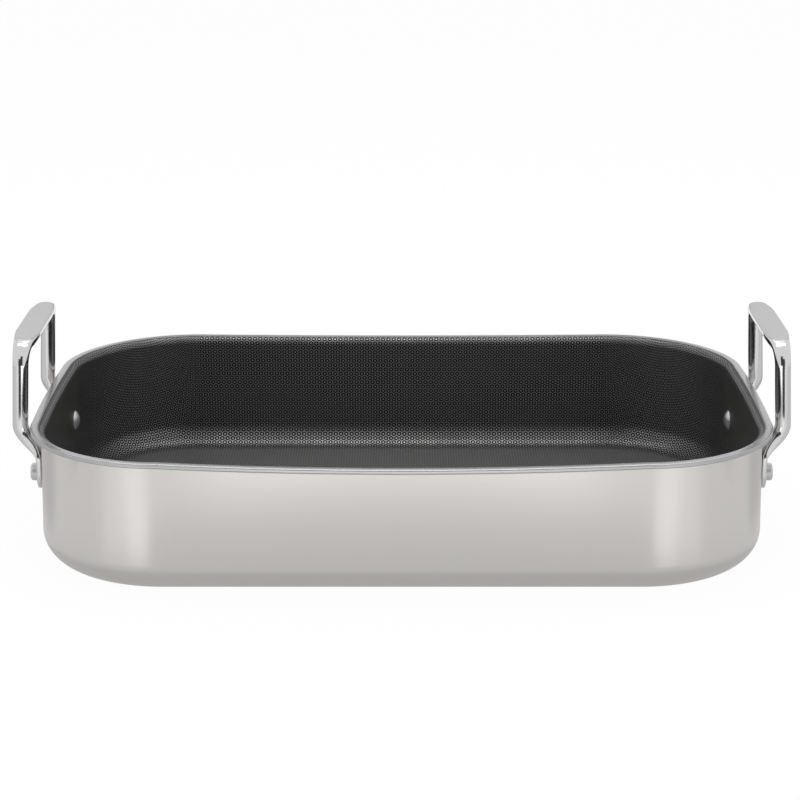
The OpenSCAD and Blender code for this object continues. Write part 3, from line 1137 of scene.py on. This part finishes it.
def build_handle_steel():
    material, tree, shader = new_material("handle_steel")
    where = object_place(tree)
    wear = use_group(tree, handling, {"Vector": where, "Patch size": HANDLE_PATCH})
    lines = use_group(tree, brushing, {"Vector": where, **FLAT_BRUSHING})
    one_side = vector_calc(tree, "MULTIPLY", vector_calc(tree, "ABSOLUTE", where), (1, 0, 1))
    height = vector_calc(tree, "DOT_PRODUCT", one_side, tuple(LEAN_UP), output="Value")
    on_flat = remap(tree, height, SATIN_FROM, SATIN_FULL)
    tone = calc(tree, "MULTIPLY", vary(tree, wear.outputs["Patches"], *HANDLE_TONE),
                # The tone turns darker on the flat, which is painted shade.
                remap(tree, on_flat, 0.0, 1.0, HANDLE_STEEL, FLAT_PAINTED_SHADE_STEEL))
    feed(tree, shader.inputs["Base Color"], even_grey(tree, tone))
    satin = calc(tree, "MULTIPLY", vary(tree, lines.outputs["Lines"], *FLAT_ROUGHNESS), on_flat)
    polish = calc(tree, "MULTIPLY", vary(tree, wear.outputs["Patches"], *POLISH_ROUGHNESS),
                  calc(tree, "SUBTRACT", 1.0, on_flat))
    feed(tree, shader.inputs["Roughness"], calc(tree, "ADD", satin, polish))
    bump = add_node(tree, "ShaderNodeBump", {
        "Strength": GRAIN_STRENGTH, "Distance": GRAIN_HEIGHT,
        "Height": calc(tree, "MULTIPLY", lines.outputs["Lines"], on_flat)})
    feed(tree, shader.inputs["Normal"], bump.outputs["Normal"])
    shader.inputs["Metallic"].default_value = 1.0
    return material


handle_steel = build_handle_steel()

for side, word in ((-1, "left"), (1, "right")):
    handle = build_handle(f"loop_handle_{word}", side)
    handle.data.materials.append(handle_steel)
    drill(handle, cutter)
    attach(handle, "root")
    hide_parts(f"handle_{word}")
    print(handle.name, "has", len(handle.data.polygons), "faces")

# %% [markdown]
# ## The rivets
#
# Each rivet is turned round one axis: a low dome inside the pan, the shank through wall and tab, and a
# button head outside. It could be stacked from a sphere and two cylinders, but one profile spun round its
# axis makes all of it, with no faces hidden inside.

# %% Turn the rivets
BUTTON_DIAMETER = 9.7 * MM
BUTTON_HEIGHT = 3.8 * MM
BUTTON_EDGE_SHARE = 0.3
BUTTON_EDGE_STEPS = 8
DOME_HEIGHT = 3 * MM
DOME_STEPS = 14
RIVET_SIDES = 64


def rivet_profile():
    dome_radius = ((DOME_DIAMETER / 2) ** 2 + DOME_HEIGHT ** 2) / (2 * DOME_HEIGHT)
    rim = math.asin(DOME_DIAMETER / 2 / dome_radius)
    dome = [(0.0, -DOME_HEIGHT)]
    for i in range(1, DOME_STEPS + 1):
        angle = rim * i / DOME_STEPS
        dome.append((dome_radius * math.sin(angle),
                     dome_radius - DOME_HEIGHT - dome_radius * math.cos(angle)))
    through = SHEET + TAB_THICKNESS
    edge = BUTTON_HEIGHT * BUTTON_EDGE_SHARE
    shank = [(SHANK_DIAMETER / 2, 0.0), (SHANK_DIAMETER / 2, through), (BUTTON_DIAMETER / 2, through)]
    edge_centre = (BUTTON_DIAMETER / 2 - edge, through + BUTTON_HEIGHT - edge)
    rounding = arc(edge_centre, edge, 0, 90, BUTTON_EDGE_STEPS)
    return dome + shank + rounding + [(0.0, through + BUTTON_HEIGHT)]


def build_rivet(name, side, way):
    bm = bmesh.new()
    rings = []
    for radius, along in rivet_profile():
        ring = []
        for k in range(RIVET_SIDES if radius > 0 else 1):
            angle = 2 * math.pi * k / RIVET_SIDES
            ring.append(bm.verts.new((side * (WALL_X - SHEET + along), way * LEG_Y + radius * math.cos(angle),
                                      RIVET_Z + radius * math.sin(angle))))
        rings.append(ring)
    for ring, following in zip(rings, rings[1:]):
        for k in range(RIVET_SIDES):
            m = (k + 1) % RIVET_SIDES
            corners = [ring[k % len(ring)], ring[m % len(ring)], following[m % len(following)],
                       following[k % len(following)]]
            bm.faces.new(list(dict.fromkeys(corners)))
    bmesh.ops.recalc_face_normals(bm, faces=bm.faces)
    mark_sharp(bm)
    rivet = keep_mesh(bm, name)
    rivet.data.materials.append(rivet_steel)
    return rivet


for side, side_word in ((-1, "left"), (1, "right")):
    for way, way_word in ((-1, "front"), (1, "rear")):
        rivet = build_rivet(f"set_rivet_{side_word}_{way_word}", side, way)
        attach(rivet, "root")
        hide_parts(f"rivet_{side_word}_{way_word}")
print("rivets turned: 4, of", len(rivet.data.polygons), "faces each")

# %% [markdown]
# ## Clear away the cutter
#
# The round cutter has drilled all the holes, so we remove it.

# %% Remove the cutter
bpy.data.objects.remove(cutter)
